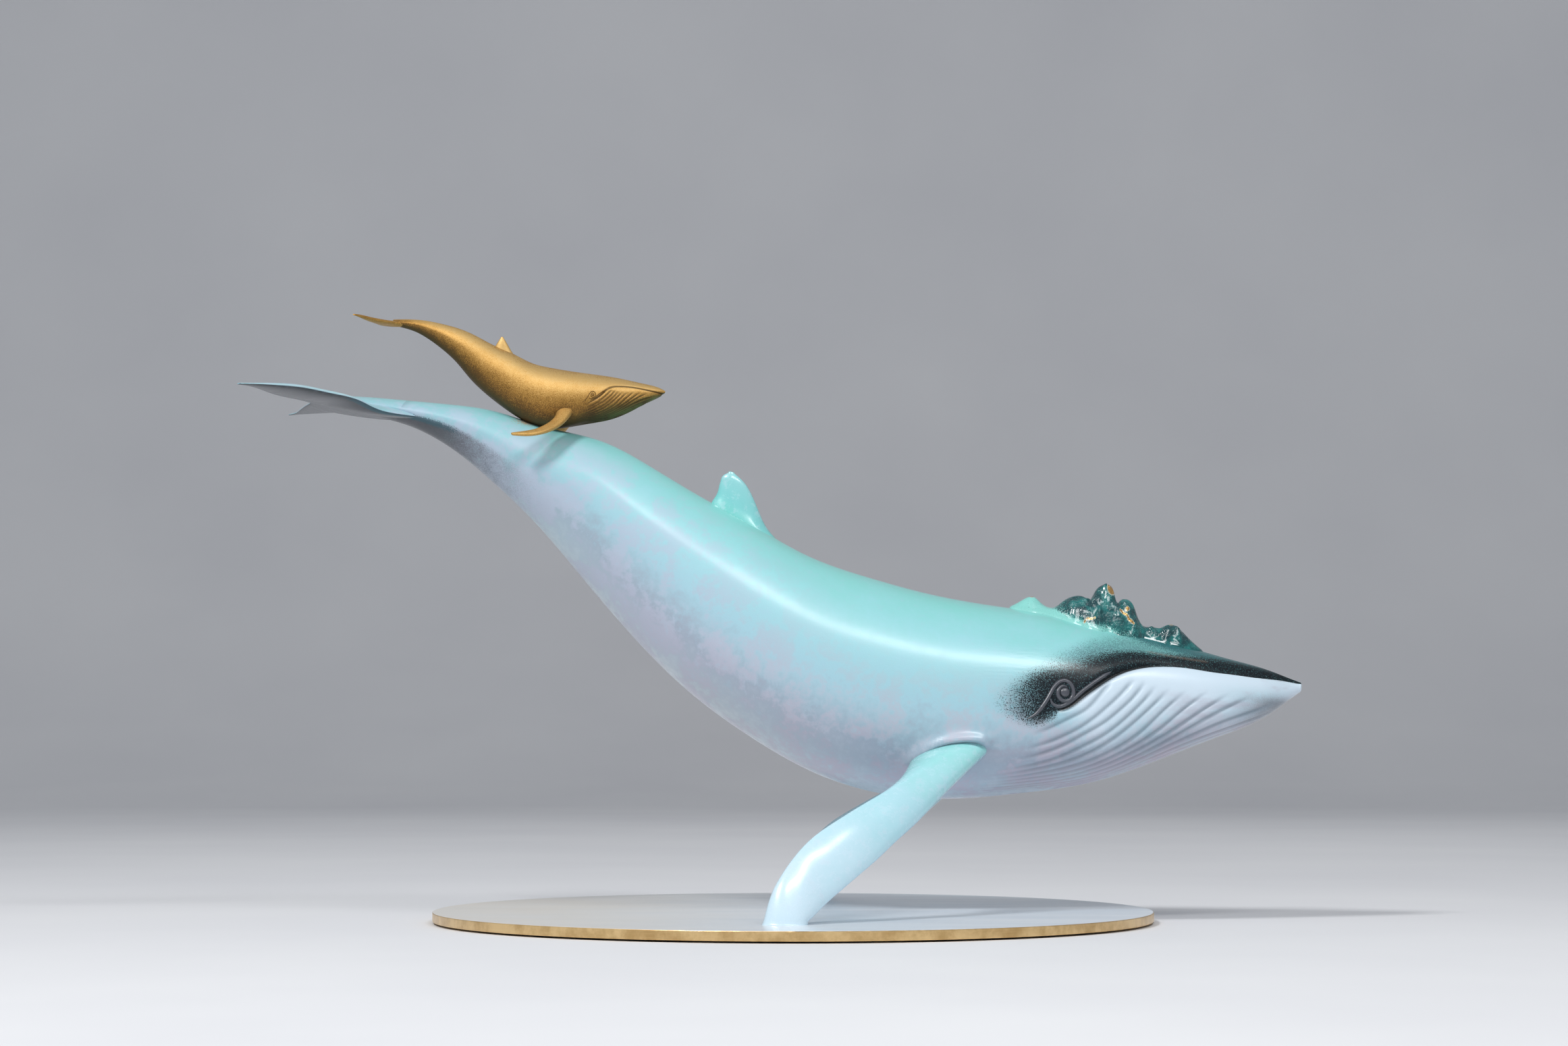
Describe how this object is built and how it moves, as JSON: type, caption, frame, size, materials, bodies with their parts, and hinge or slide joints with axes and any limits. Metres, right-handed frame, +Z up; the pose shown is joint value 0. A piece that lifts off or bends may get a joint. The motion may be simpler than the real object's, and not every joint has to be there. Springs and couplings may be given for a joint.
{
  "type": "whale figurine",
  "caption": "Cast whale standing on its flippers on a thin round plate, with a calf on its tail stock; a free-standing ornament.",
  "frame": {"origin": "middle of the underside of the felt under the plate, on the surface it stands on", "axes": "+X along the whale towards its chin, +Y towards its left side, +Z up"},
  "size_m": [0.5506, 0.38, 0.3235],
  "materials": {
    "underlay_felt": "dense felt, matt",
    "plate_brass": "brushed edge, pale patina on top",
    "fixing_steel": "plain machined",
    "sea_patina": "coloured patina under satin lacquer",
    "pale_patina": "pale patina under gloss lacquer",
    "crest_glaze": "thick glossy glaze with gilt tips",
    "calf_gold": "satin gilt bronze"
  },
  "bodies": {
    "root": {"felt_underlay": "underlay_felt", "base_plate": "plate_brass", "foot_screws": "fixing_steel", "body_shell": "sea_patina", "tail_flukes": "sea_patina", "tail_pin": "fixing_steel", "dorsal_fin": "sea_patina", "dorsal_fin_pins": "fixing_steel", "head_crest": "crest_glaze", "head_crest_pins": "fixing_steel", "flipper_right": "pale_patina", "flipper_left": "pale_patina", "flipper_root_pins": "fixing_steel", "calf_body": "calf_gold", "calf_flukes": "calf_gold", "calf_dorsal_fin": "calf_gold", "calf_flipper_right": "calf_gold", "calf_flipper_left": "calf_gold", "calf_seat_pins": "fixing_steel"}
  },
  "joints": []
}
